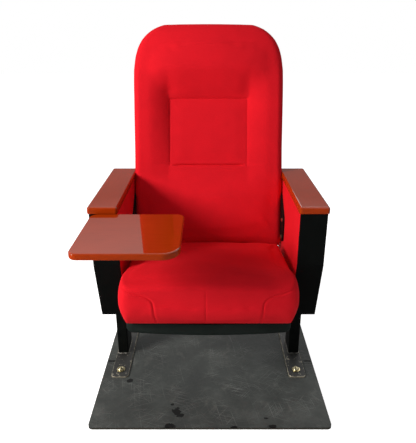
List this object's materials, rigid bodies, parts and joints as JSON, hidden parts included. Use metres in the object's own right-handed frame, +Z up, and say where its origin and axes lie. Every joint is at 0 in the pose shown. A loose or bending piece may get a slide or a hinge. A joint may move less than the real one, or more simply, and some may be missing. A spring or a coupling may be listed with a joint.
{
  "type": "tip-up auditorium seat",
  "caption": "Upholstered auditorium seat with a tip-up cushion, wooden armrests and a swing-away writing tablet, on a floor plate.",
  "frame": {"origin": "on the floor, midway between the two legs and under their middle", "axes": "+Z up, +Y behind the seat, +X to the sitter's left"},
  "size_m": [0.716, 0.827, 1.1108],
  "materials": {
    "red_fabric": "woven red upholstery cloth",
    "lacquered_wood": "stained hardwood under clear gloss lacquer",
    "black_cover": "smooth black moulding",
    "dark_shell": "satin moulded dark shell",
    "black_steel": "black powder coat",
    "plate_steel": "worn dark paint on steel plate",
    "floor_covering": "scuffed charcoal sheet",
    "zinc_hardware": "yellowish zinc plate",
    "spring_steel": "oiled spring wire",
    "nylon": "natural nylon",
    "stop_rubber": "black rubber"
  },
  "bodies": {
    "base": {"anchor_bolts": "zinc_hardware", "anchor_washers": "zinc_hardware", "arm_rail_left": "black_steel", "arm_rail_right": "black_steel", "armrest_left": "lacquered_wood", "armrest_right": "lacquered_wood", "armrest_screws": "zinc_hardware", "back_bolts": "zinc_hardware", "back_bracket_left": "black_steel", "back_bracket_right": "black_steel", "back_cushion": "red_fabric", "back_frame": "black_steel", "back_shell": "dark_shell", "back_spacers": "zinc_hardware", "base_plate": "plate_steel", "bottom_cover_left": "black_cover", "bottom_cover_right": "black_cover", "counter_spring_left": "spring_steel", "counter_spring_right": "spring_steel", "cover_screws": "zinc_hardware", "floor_mat": "floor_covering", "foot_plate_left": "plate_steel", "foot_plate_right": "plate_steel", "front_cover_left": "black_cover", "front_cover_right": "black_cover", "housing_bolts": "zinc_hardware", "inner_panel_left": "red_fabric", "inner_panel_right": "red_fabric", "leg_left": "black_steel", "leg_right": "black_steel", "outer_panel_left": "red_fabric", "outer_panel_right": "red_fabric", "pivot_bracket_left": "black_steel", "pivot_bracket_right": "black_steel", "pivot_nuts": "zinc_hardware", "pivot_pins": "zinc_hardware", "pivot_rings": "spring_steel", "rear_cover_left": "black_cover", "rear_cover_right": "black_cover", "shell_screws": "zinc_hardware", "stop_pins": "zinc_hardware", "stop_sleeves": "stop_rubber", "tablet_housing": "black_steel"},
    "seat": {"seat_pan": "dark_shell", "seat_frame": "black_steel", "seat_wires": "spring_steel", "seat_cushion": "red_fabric", "seat_arm_right": "black_steel", "seat_arm_left": "black_steel", "pivot_bushes": "nylon", "seat_arm_bolts": "zinc_hardware", "pan_screws": "zinc_hardware"},
    "tablet": {"tablet_top": "lacquered_wood", "tablet_arm": "black_steel", "tablet_spindle": "zinc_hardware", "tablet_washers": "zinc_hardware", "tablet_nut": "zinc_hardware", "tablet_screws": "zinc_hardware"}
  },
  "joints": [
    {"name": "seat_tip", "type": "hinge", "parent": "base", "child": "seat", "pos_m": [0, -0.065, 0.35], "axis": [-1, 0, 0], "range_deg": [0, 75]},
    {"name": "tablet_swing", "type": "hinge", "parent": "base", "child": "tablet", "pos_m": [-0.297, -0.262, 0.562], "axis": [0.7071, 0, -0.7071], "range_deg": [0, 180]}
  ]
}
